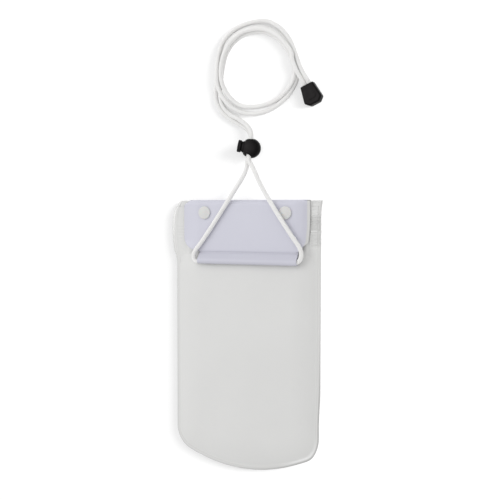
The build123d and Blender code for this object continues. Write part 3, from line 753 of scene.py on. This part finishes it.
def flap_profile():
    """Middle line of the flap's film in (y, z), from the strip behind the mouth to the tunnel's seam.

    With it come the places in that list where the top starts and where the tunnel does.
    """
    line = []

    def run(y0, z0, y1, z1, step=0.9):
        count = max(2, int(math.hypot(y1 - y0, z1 - z0) / step))
        for i in range(count):
            t = i / count
            line.append((y0 + (y1 - y0) * t, z0 + (z1 - z0) * t))

    def arc(cy, cz, r, start, end, count):
        for i in range(count):
            a = math.radians(start + (end - start) * i / count)
            line.append((cy + r * math.cos(a), cz + r * math.sin(a)))

    top = FLAP_MID
    run(BACK_LEG_Y, BACK_LEG_Z, FOLD_Y - FOLD_R, BACK_LEG_Z)
    arc(FOLD_Y - FOLD_R, BACK_LEG_Z + FOLD_R, FOLD_R, -90, 0, 8)
    run(FOLD_Y, BACK_LEG_Z + FOLD_R, FOLD_Y, top - FOLD_TOP_R)
    top_start = len(line) + 1
    arc(FOLD_Y - FOLD_TOP_R, top - FOLD_TOP_R, FOLD_TOP_R, 0, 90, 10)
    run(FOLD_Y - FOLD_TOP_R, top, SEAM_Y + 0.4, top)
    line.extend(((SEAM_Y + 0.4, top), (SEAM_Y - 0.1, top - 0.16), (SEAM_Y - 0.5, top - 0.44),
                 (SEAM_Y - 0.9, top - 0.56), (SEAM_Y - 1.3, top - 0.46), (SEAM_Y - 1.6, top - 0.12)))
    rise = math.degrees(math.atan2(TUNNEL_Z - top, SEAM_Y - TUNNEL_Y))
    touch = math.degrees(math.acos(TUNNEL_R / math.hypot(SEAM_Y - TUNNEL_Y, TUNNEL_Z - top)))
    upper = touch - rise
    lower = -touch - rise

    def on_tunnel(angle):
        a = math.radians(angle)
        return TUNNEL_Y + TUNNEL_R * math.cos(a), TUNNEL_Z + TUNNEL_R * math.sin(a)

    tunnel_start = len(line)
    run(SEAM_Y - 1.9, top + 0.3, *on_tunnel(upper), step=0.5)
    arc(TUNNEL_Y, TUNNEL_Z, TUNNEL_R, upper, 360 + lower, 26)
    run(*on_tunnel(lower), SEAM_Y + 0.2, top - 0.5, step=0.5)
    line.append((SEAM_Y + 0.2, top - 0.5))
    return line, top_start, tunnel_start


def flap_sides(y):
    """Left and right end of the flap at y. It draws in at the fold, and curves in to the tunnel."""
    left, right = FLAP_LEFT, FLAP_RIGHT
    if y < CORNER_LOW_Y:
        down = min(1.0, (CORNER_LOW_Y - y) / (CORNER_LOW_Y - SEAM_Y))
        inwards = 1 - math.sqrt(max(0.0, 1 - down ** 2))
        left += (TUNNEL_LEFT - FLAP_LEFT) * inwards
        right += (TUNNEL_RIGHT - FLAP_RIGHT) * inwards
    left += FOLD_INSET * smooth_step(y, 92.5, 97.6)
    right -= 0.7 + 0.8 * smooth_step(80.0 - y, 0.0, 14.0) + 0.6 * smooth_step(y, 95.5, 97.4)
    return left, right


def flap_lift(x, y):
    """How far the flap's top stands off its middle line: soft waves, dimpled round the snaps."""
    lift = 0.16 * noise.noise(Vector((x * 0.05, y * 0.05, 3.3))) * smooth_step(y, SEAM_Y + 1, SEAM_Y + 8)
    for snap_x in (-SNAP_X, SNAP_X):
        lift -= 0.12 * bell(math.hypot(x - snap_x, y - SNAP_Y) - 5.4, 1.1)
    return min(lift, 0.12)


def flap_droop(x, y):
    """How far the flap's ends hang down over the sides of the pouch."""
    ends = smooth_step(abs(x - 0.5), 36.0, 47.0) * smooth_step(y, SEAM_Y + 1, 68.0)
    margin = smooth_step(x, 42.0, 47.0) * smooth_step(97.0 - y, 0.0, 3.5)
    return FLAP_DROOP * ends + MARGIN_DROOP * margin


def build_flap():
    """The flap as one bent strip of film."""
    profile, top_start, tunnel_start = flap_profile()
    columns = spread(110, 0.0, 1.0, 0.55)
    points = []
    for j, (y, z) in enumerate(profile):
        left, right = TUNNEL_LEFT, TUNNEL_RIGHT
        if j < tunnel_start:
            left, right = flap_sides(y)
            right += FLAP_MARGIN * smooth_step(y, 64.0, 67.0)
        for s in columns:
            x = left + (right - left) * s
            raised = flap_lift(x, y) - flap_droop(x, y) if top_start <= j < tunnel_start else 0.0
            points.append((x, y, z + raised))
    faces = [(a, d, c, b) for a, b, c, d in grid_quads(len(profile), len(columns))]
    flap = new_mesh("flap_film", points, faces)
    wall = flap.modifiers.new("wall", "SOLIDIFY")
    wall.thickness = FLAP_T * MM
    wall.offset = 0.0
    settle(flap)
    # painted shade line along the seam; below it the film lies in two layers and is deeper in colour
    mark(flap, "doubled", lambda x, y: max(0.4 * smooth_step(SEAM_Y - 1.2 - y, 0.0, 0.8),
                                           bell(y - SEAM_Y + 0.9, 0.9)))
    mark(flap, "margin", lambda x, y: smooth_step(x - flap_sides(y)[1], 0.0, 0.5) * (y > 62.0))
    dress(flap, finish_of("lavender_film"))
    return flap


# The snaps

def lathe(name, outline, count):
    """A solid turned from (radius, height) points that start and end on the axis."""
    ring = outline[1:-1]
    points = [(0.0, 0.0, outline[0][1])]
    for r, z in ring:
        for i in range(count):
            a = 2 * math.pi * i / count
            points.append((r * math.cos(a), r * math.sin(a), z))
    points.append((0.0, 0.0, outline[-1][1]))
    faces = [(0, 1 + (i + 1) % count, 1 + i) for i in range(count)]
    for j in range(len(ring) - 1):
        for i in range(count):
            a, b = 1 + j * count + i, 1 + j * count + (i + 1) % count
            faces.append((a, b, b + count, a + count))
    last = len(points) - 1
    start = 1 + (len(ring) - 1) * count
    faces += [(last, start + i, start + (i + 1) % count) for i in range(count)]
    return new_mesh(name, points, faces)


def snap_outline():
    """Half section of a snap's outer cap, bottom to top: rolled rim, shallow ring and dome."""
    outline = [(0.0, 0.0), (CAP_R - CAP_RIM, 0.0)]
    for i in range(7):
        a = math.radians(-90 + 25 * i)
        outline.append((CAP_R - CAP_RIM + CAP_RIM * math.cos(a), CAP_RIM + CAP_RIM * math.sin(a)))
    outline += [(CAP_R - 0.75, 1.05), (CAP_R - 1.05, 1.0), (CAP_R - 1.35, 1.03), (CAP_R - 2.0, 1.12),
                (1.8, 1.2), (0.9, 1.25), (0.0, 1.26)]
    return outline


def snap_tree():
    """Puts a cap on both ends of a distance across the flap."""
    tree, g = new_group("Row of snaps", "GeometryNodeTree", (
        ("Geometry", "Geometry"), ("Distance", "Float", 0.06), ("Cap", "Object"), ("Finish", "Material"),
    ), (("Geometry", "Geometry"),))
    given = g.node("NodeGroupInput").outputs
    half = g.math("MULTIPLY", given["Distance"], -0.5)
    start = g.node("ShaderNodeCombineXYZ", X=half, Y=SNAP_Y * MM, Z=FLAP_TOP * MM)
    step = g.node("ShaderNodeCombineXYZ", X=given["Distance"])
    row = g.node("GeometryNodeMeshLine", {"mode": "OFFSET", "count_mode": "TOTAL"}, Count=2,
                 Start_Location=start.outputs[0], Offset=step.outputs[0])
    shape = g.node("GeometryNodeObjectInfo", Object=given["Cap"])
    copies = g.node("GeometryNodeInstanceOnPoints", Points=row.outputs[0],
                    Instance=shape.outputs["Geometry"])
    real = g.node("GeometryNodeRealizeInstances", Geometry=copies.outputs[0])
    painted = g.node("GeometryNodeSetMaterial", Geometry=real.outputs[0], Material=given["Finish"])
    g.put(g.node("NodeGroupOutput").inputs[0], painted.outputs[0])
    return tree


def give(modifier, values):
    """Sets a Geometry Nodes modifier's inputs by their identifiers."""
    for item in modifier.node_group.interface.items_tree:
        if item.in_out == "INPUT" and item.name in values:
            modifier[item.identifier] = values[item.name]


# The neck cord

def lock_point(v, up):
    """A point on a cord's line through the lock, v along it and up across it from the ball's middle."""
    middle_x, middle_y, middle_z = LOCK_PLACE
    turn = math.radians(LOCK_TURN)
    pitch = math.radians(LOCK_PITCH)
    roll = math.radians(LOCK_ROLL)
    across = up * math.sin(roll) - math.cos(roll)
    lift = up * math.cos(roll) + math.sin(roll)
    along = v * math.cos(pitch) + lift * math.sin(pitch)
    x = middle_x + across * math.cos(turn) - along * math.sin(turn)
    y = middle_y + across * math.sin(turn) + along * math.cos(turn)
    return (x, y, middle_z - v * math.sin(pitch) + lift * math.cos(pitch))


def end_point(side, depth):
    """A point on one cord's line into the cord end, depth past its mouth."""
    mouth_x, mouth_y, mouth_z = END_PLACE
    turn = math.radians(END_TURN)
    x = mouth_x + side * STRAND_STEP * math.cos(turn) - depth * math.sin(turn)
    y = mouth_y + side * STRAND_STEP * math.sin(turn) + depth * math.cos(turn)
    return (x, y, mouth_z)


def ring_inside(angle):
    """Radius of the ring's open middle at an angle in degrees."""
    count = len(RING_INSIDE)
    turn = (angle % 360) / (360 / count)
    low = int(turn) % count
    eased = smooth_step(turn % 1, 0.0, 1.0)
    return RING_INSIDE[low] * (1 - eased) + RING_INSIDE[(low + 1) % count] * eased


def between(stops, x):
    """Straight interpolation in a list of (x, value), x falling."""
    for (x0, v0), (x1, v1) in zip(stops, stops[1:]):
        if x0 >= x >= x1:
            return v0 + (v1 - v0) * (x0 - x) / (x0 - x1)
    return stops[-1][1] if x < stops[-1][0] else stops[0][1]


def ring_turns(lanes, heights, first, last):
    """Points of one strand round the ring, clockwise from first to last degrees.

    lanes gives how many strands in from the ring's open middle it lies, and heights its middle's z.
    """
    step = 360 / TURN_POINTS
    count = round((first - last) / step)
    points = []
    for i in range(count + 1):
        angle = first - i * step
        radius = (ring_inside(angle) + (0.5 + between(lanes, angle)) * LANE) / SPLINE_PULL
        a = math.radians(angle)
        points.append((RING_X + radius * math.cos(a), RING_Y + radius * math.sin(a),
                       between(heights, angle)))
    return points


def left_route():
    """The strand from the tunnel's left mouth to the cord end."""
    route = [
        (TUNNEL_MIDDLE, TUNNEL_Y, TUNNEL_Z),
        (-31.5, TUNNEL_Y, TUNNEL_Z),
        (-37.9, 52.2, 10.7),
        (-39.1, 58.8, 11.0),
        (-31.0, 67.8, 11.0),
        (-5.8, 104.6, 11.05),
        (1.7, 117.0, 9.0),
        lock_point(-9.0, -STRAND_STEP),
        lock_point(8.6, -STRAND_STEP),
        (-0.4, 147.4, 2.3),
        (-9.6, 151.9, 1.8),
        (-19.0, 157.8, 1.8),
        (-24.6, 165.8, 1.75),
        (-25.6, 174.6, 1.7),
        (-24.4, 182.6, 1.7),
    ]
    lanes = [(180, 1.0), (-50, 1.0), (-70, 1.3), (-90, 1.7), (-120, 1.4), (-150, 1.25), (-180, 0.99),
             (-200, 1.4), (-220, 2.2), (-240, 2.15), (-260, 2.15), (-280, 2.45), (-300, 2.15),
             (-320, 1.8)]
    heights = [(180, CORD_FLOOR), (-110, CORD_FLOOR), (-150, 4.6), (-165, 4.2), (-195, 4.1), (-222, 2.3),
               (-240, CORD_FLOOR), (-320, CORD_FLOOR)]
    route += ring_turns(lanes, heights, 180, -320)
    route += [(35.7, 196.6, 2.2), (38.0, 190.2, 2.9), (40.9, 184.4, 3.4), end_point(-1, -1.6),
              end_point(-1, 4.0), end_point(-1, 8.0)]
    return route


def right_route():
    """The strand from the tunnel's right mouth to the cord end."""
    route = [
        (TUNNEL_MIDDLE, TUNNEL_Y, TUNNEL_Z),
        (33.7, TUNNEL_Y, TUNNEL_Z),
        (41.8, 53.0, 10.8),
        (43.9, 61.6, 11.2),
        (35.6, 72.6, 12.55),
        (14.2, 104.6, 11.75),
        (7.5, 119.6, 11.6),
        lock_point(-8.6, STRAND_STEP),
        lock_point(9.4, STRAND_STEP),
        (1.6, 148.4, 5.4),
        (-5.6, 153.6, 3.5),
        (-14.6, 158.0, 2.1),
        (-20.4, 164.4, 1.8),
        (-22.3, 172.8, 1.75),
        (-21.2, 181.8, 1.7),
    ]
    lanes = [(180, 0.0), (0, 0.1), (-20, 0.6), (-40, 0.25), (-60, 0.0), (-120, 0.1), (-150, 0.05),
             (-180, 0.0), (-210, 0.1), (-240, 0.5), (-330, 0.6), (-340, 0.8)]
    heights = [(180, CORD_FLOOR), (0, CORD_FLOOR), (-20, 4.0), (-40, 2.8), (-60, CORD_FLOOR),
               (-130, CORD_FLOOR), (-165, ON_TOP), (-200, ON_TOP), (-240, NESTED), (-340, NESTED)]
    route += ring_turns(lanes, heights, 180, -340)
    route += [(33.7, 193.4, 4.8), (35.8, 188.2, 5.0), (38.2, 183.2, 4.8), (41.1, 178.6, 3.9),
              end_point(1, -1.0), end_point(1, 4.0), end_point(1, 8.0)]
    return route


def route_line(name, route):
    """Points along the smooth curve that has the route as its control points."""
    curve = bpy.data.curves.new(name + " route", "CURVE")
    curve.dimensions = "3D"
    curve.resolution_u = 14
    spline = curve.splines.new("NURBS")
    spline.points.add(len(route) - 1)
    for point, place in zip(spline.points, route):
        point.co = (place[0] * MM, place[1] * MM, place[2] * MM, 1.0)
    spline.order_u = 3
    spline.use_endpoint_u = True
    carrier = link(bpy.data.objects.new(name + " route", curve))
    mesh = bpy.data.meshes.new_from_object(carrier)
    path = [vertex.co.copy() for vertex in mesh.vertices]
    bpy.data.objects.remove(carrier)
    bpy.data.meshes.remove(mesh)
    return path


def cord_tree():
    """Follows a line of edges with a braided tube that has its own UV."""
    tree, g = new_group("Braided cord", "GeometryNodeTree", (
        ("Geometry", "Geometry"), ("Diameter", "Float", 0.003), ("Relief", "Float", 0.0001),
        ("Stitch", "Float", 0.0015), ("Step", "Float", 0.0004), ("Finish", "Material"),
    ), (("Geometry", "Geometry"),))
    given = g.node("NodeGroupInput").outputs
    line = g.node("GeometryNodeMeshToCurve", Mesh=given["Geometry"])
    even = g.node("GeometryNodeResampleCurve", {"mode": "LENGTH"}, Curve=line.outputs[0],
                  Length=given["Step"])
    along = g.node("GeometryNodeSplineParameter")
    marked = g.node("GeometryNodeStoreNamedAttribute", {"data_type": "FLOAT", "domain": "POINT"},
                    Geometry=even.outputs[0], Name="run", Value=along.outputs["Length"])
    radius = g.math("MULTIPLY", given["Diameter"], 0.5)
    section = g.node("GeometryNodeCurveArc", {"mode": "RADIUS"}, Sweep_Angle=2 * math.pi,
                     Radius=radius, Resolution=STITCHES_ROUND * STITCH_FACES + 1)
    place = g.node("GeometryNodeSplineParameter")
    ringed = g.node("GeometryNodeStoreNamedAttribute", {"data_type": "FLOAT", "domain": "POINT"},
                    Geometry=section.outputs[0], Name="around", Value=place.outputs["Factor"])
    tube = g.node("GeometryNodeCurveToMesh", Curve=marked.outputs[0], Profile_Curve=ringed.outputs[0])
    run = g.node("GeometryNodeInputNamedAttribute", {"data_type": "FLOAT"}, Name="run")
    around = g.node("GeometryNodeInputNamedAttribute", {"data_type": "FLOAT"}, Name="around")
    u = g.math("MULTIPLY", around.outputs[0], STITCHES_ROUND)
    v = g.math("DIVIDE", run.outputs[0], given["Stitch"])
    both = g.node("ShaderNodeCombineXYZ", X=u, Y=v)
    mapped = g.node("GeometryNodeStoreNamedAttribute", {"data_type": "FLOAT2", "domain": "CORNER"},
                    Geometry=tube.outputs[0], Name="along", Value=both.outputs[0])
    raised = g.math("ABSOLUTE", g.stitch(u, v))
    height = g.math("MULTIPLY", g.math("SUBTRACT", raised, 1.0), given["Relief"])
    outwards = g.node("GeometryNodeInputNormal").outputs[0]
    push = g.node("ShaderNodeVectorMath", {"operation": "SCALE"}, Vector=outwards, Scale=height)
    shaped = g.node("GeometryNodeSetPosition", Geometry=mapped.outputs[0], Offset=push.outputs[0])
    closed = g.node("GeometryNodeMergeByDistance", Geometry=shaped.outputs[0], Distance=0.00003)
    smooth = g.node("GeometryNodeSetShadeSmooth", Geometry=closed.outputs[0])
    real = g.node("GeometryNodeRealizeInstances", Geometry=smooth.outputs[0])
    painted = g.node("GeometryNodeSetMaterial", Geometry=real.outputs[0], Material=given["Finish"])
    g.put(g.node("NodeGroupOutput").inputs[0], painted.outputs[0])
    return tree


def build_cord(name, route, tree):
    """A cord piece and the path that it follows."""
    sizes = bpy.context.scene.pouch_sizes
    path = route_line(name, route)
    mesh = bpy.data.meshes.new(name)
    mesh.from_pydata([tuple(p) for p in path], [(i, i + 1) for i in range(len(path) - 1)], [])
    cord = link(bpy.data.objects.new(name, mesh))
    braided = cord.modifiers.new("braid", "NODES")
    braided.node_group = tree
    give(braided, {"Diameter": sizes.cord, "Relief": sizes.braid, "Stitch": sizes.stitch,
                   "Step": CORD_STEP * MM, "Finish": finish_of("woven_cord")})
    settle(cord)
    return cord, path


# Operators, one for each group of pieces

class POUCH_OT_sheets(bpy.types.Operator):
    """Makes the two welded film sheets"""

    bl_idname = "pouch.sheets"
    bl_label = "Film sheets"

    def execute(self, context):
        finish_piece(build_sheet("front_film", FRONT_LIP_Y, 1, 0.7), "frosted_film", "front_panel")
        finish_piece(build_sheet("back_film", BACK_LIP_Y, -1, 4.1), "frosted_film", "back_panel")
        return {"FINISHED"}


class POUCH_OT_flap(bpy.types.Operator):
    """Makes the closing flap with the cord tunnel"""

    bl_idname = "pouch.flap"
    bl_label = "Closing flap"

    def execute(self, context):
        finish_piece(build_flap(), "lavender_film", "closing_flap")
        return {"FINISHED"}


class POUCH_OT_snaps(bpy.types.Operator):
    """Makes the caps of the two snaps"""

    bl_idname = "pouch.snaps"
    bl_label = "Snap caps"

    def execute(self, context):
        cap = lathe("snap cap", snap_outline(), 48)
        caps = link(bpy.data.objects.new("snap_caps", bpy.data.meshes.new("snap_caps")))
        row = caps.modifiers.new("row", "NODES")
        row.node_group = snap_tree()
        give(row, {"Distance": 2 * SNAP_X * MM, "Cap": cap, "Finish": finish_of("snap_plastic")})
        settle(caps)
        bpy.data.objects.remove(cap)
        for poly in caps.data.polygons:
            poly.use_smooth = True
        finish_piece(caps, "snap_plastic", "left_snap_cap", "right_snap_cap")
        return {"FINISHED"}


class POUCH_OT_cord(bpy.types.Operator):
    """Makes the neck cord, one piece for each strand out of the tunnel"""

    bl_idname = "pouch.cord"
    bl_label = "Neck cord"

    def execute(self, context):
        tree = cord_tree()
        for side, route in (("left", left_route()), ("right", right_route())):
            cord, path = build_cord("neck_cord_" + side, route, tree)
            finish_piece(cord, "woven_cord", "cord_" + side, "cord_tail_" + side, "cord_coil")
        return {"FINISHED"}


class POUCH_OT_hardware(bpy.types.Operator):
    """Finishes the pieces that keep their CAD shape: zip, snaps, cord lock and cord end"""

    bl_idname = "pouch.hardware"
    bl_label = "Zip, snaps, cord lock and cord end"

    def execute(self, context):
        replaced = {"front_panel", "back_panel", "closing_flap", "left_snap_cap", "right_snap_cap",
                    "cord_left", "cord_right", "cord_coil", "cord_tail_left", "cord_tail_right"}
        for part in frame["record"]["subparts"]:
            node = frame["nodes"][part["node"]]
            if part["node"] in replaced:
                continue
            for slot in node.material_slots:
                slot.material = finish_of(part["material_slot"])
        return {"FINISHED"}


def looked_at(g):
    """1 for rays from the camera, also by way of a gloss or through clear film."""
    seen = g.node("ShaderNodeLightPath").outputs
    mirrored = g.math("MAXIMUM", seen["Is Glossy Ray"], seen["Is Transmission Ray"])
    return g.math("MAXIMUM", seen["Is Camera Ray"], mirrored)


def floor_material():
    """White to look at wherever the light reaches, with a soft and pale shadow."""
    material, g = blank_material("white table")
    lit = g.node("ShaderNodeBsdfDiffuse", Color=WHITE)
    white = g.node("ShaderNodeEmission", Color=WHITE, Strength=1.0)
    direct = g.node("ShaderNodeMixShader", n0=TABLE_GLOW, n1=lit.outputs[0], n2=white.outputs[0])
    bounced = g.node("ShaderNodeBsdfDiffuse", Color=shaded(WHITE[:3], 0.85))
    mixed = g.node("ShaderNodeMixShader", n0=looked_at(g), n1=bounced.outputs[0], n2=direct.outputs[0])
    g.node("ShaderNodeOutputMaterial", Surface=mixed.outputs[0])
    return material


def add_lamp(name, place, size, power, table, on_table):
    """A round soft lamp that lights only the table, or everything but the table."""
    lamp = bpy.data.lights.new(name, "AREA")
    lamp.shape = "DISK"
    lamp.size = size
    lamp.energy = power
    obj = link(bpy.data.objects.new(name, lamp))
    obj.location = place
    obj.rotation_mode = "QUATERNION"
    obj.rotation_quaternion = (Vector(LAMPS_AIM) - Vector(place)).to_track_quat("-Z", "Y")
    lit = bpy.data.collections.new(name + " lights")
    lit.objects.link(table)
    lit.collection_objects[0].light_linking.link_state = "INCLUDE" if on_table else "EXCLUDE"
    obj.light_linking.receiver_collection = lit


def add_camera():
    """The camera that sees the pouch as the photograph does."""
    tilt_x, tilt_y = math.radians(CAMERA_TILT_X), math.radians(CAMERA_TILT_Y)
    back = Vector((math.sin(tilt_x) * math.cos(tilt_y), -math.sin(tilt_y),
                   math.cos(tilt_x) * math.cos(tilt_y)))
    right = Vector((0, 1, 0)).cross(back).normalized()
    up = back.cross(right)
    roll = math.radians(CAMERA_ROLL)
    turned = right * math.cos(roll) + up * math.sin(roll)
    up = back.cross(turned)
    camera = link(bpy.data.objects.new("camera", bpy.data.cameras.new("camera")))
    camera.data.lens = CAMERA_LENS
    camera.data.sensor_width = 36.0
    camera.data.clip_start = 0.01
    place = (Vector(CAMERA_AIM) + back * CAMERA_DISTANCE) * MM
    turn = Matrix((turned, up, back)).transposed()
    camera.matrix_world = Matrix.Translation(place) @ turn.to_4x4()
    bpy.context.scene.camera = camera


class POUCH_OT_stage(bpy.types.Operator):
    """Makes the table, the light and the camera"""

    bl_idname = "pouch.stage"
    bl_label = "Table, light and camera"

    def execute(self, context):
        stage = context.scene.pouch_stage
        corners = [(x * TABLE_HALF, y * TABLE_HALF, TABLE_Z)
                   for x, y in ((-1, -1), (1, -1), (1, 1), (-1, 1))]
        floor = new_mesh("table", corners, [(0, 1, 2, 3)], smooth=False)
        dress(floor, floor_material())
        add_lamp("key", KEY_PLACE, KEY_SIZE, stage.key, floor, on_table=False)
        add_lamp("glint", GLINT_PLACE, GLINT_SIZE, stage.key / 10, floor, on_table=False)
        add_lamp("low light", LOW_PLACE, SIDE_SIZE, 2 * stage.side, floor, on_table=True)
        add_lamp("table light", SIDE_PLACE, SIDE_SIZE, stage.side, floor, on_table=True)
        world = bpy.data.worlds.new("even light")
        context.scene.world = world
        world.use_nodes = True
        world.node_tree.nodes.clear()
        g = Graph(world.node_tree)
        lit = g.node("ShaderNodeBackground", Color=WHITE, Strength=stage.sky)
        plain = g.node("ShaderNodeBackground", Color=WHITE, Strength=1.0)
        mixed = g.node("ShaderNodeMixShader", n0=looked_at(g), n1=lit.outputs[0], n2=plain.outputs[0])
        g.node("ShaderNodeOutputWorld", Surface=mixed.outputs[0])
        add_camera()
        context.scene.view_settings.view_transform = "Standard"
        return {"FINISHED"}


class POUCH_OT_finishes(bpy.types.Operator):
    """Makes the materials"""

    bl_idname = "pouch.finishes"
    bl_label = "Finishes"

    def execute(self, context):
        make_materials()
        return {"FINISHED"}


class POUCH_PT_panel(bpy.types.Panel):
    """Lists the steps and the sizes"""

    bl_label = "Phone pouch"
    bl_idname = "POUCH_PT_panel"
    bl_space_type = "VIEW_3D"
    bl_region_type = "UI"
    bl_category = "Pouch"

    def draw(self, context):
        for name in GROUPS:
            group = getattr(context.scene, name)
            for key in group.bl_rna.properties.keys():
                if key not in ("rna_type", "name"):
                    self.layout.prop(group, key)
        for operator in OPERATORS:
            self.layout.operator(operator.bl_idname)


OPERATORS = (POUCH_OT_finishes, POUCH_OT_sheets, POUCH_OT_flap, POUCH_OT_snaps, POUCH_OT_cord,
             POUCH_OT_hardware, POUCH_OT_stage)
GROUPS = {"pouch_sizes": PouchSizes, "pouch_colours": PouchColours, "pouch_stage": PouchStage}
CLASSES = tuple(GROUPS.values()) + OPERATORS + (POUCH_PT_panel,)


def register():
    for cls in CLASSES:
        bpy.utils.register_class(cls)
    for name, group in GROUPS.items():
        setattr(bpy.types.Scene, name, PointerProperty(type=group))


def unregister():
    for name in GROUPS:
        delattr(bpy.types.Scene, name)
    for cls in reversed(CLASSES):
        bpy.utils.unregister_class(cls)


def main():
    register()
    bpy.ops.pouch.finishes()
    bpy.ops.pouch.sheets()
    bpy.ops.pouch.flap()
    bpy.ops.pouch.snaps()
    bpy.ops.pouch.cord()
    bpy.ops.pouch.hardware()
    bpy.ops.pouch.stage()


if __name__ == "__main__":
    main()
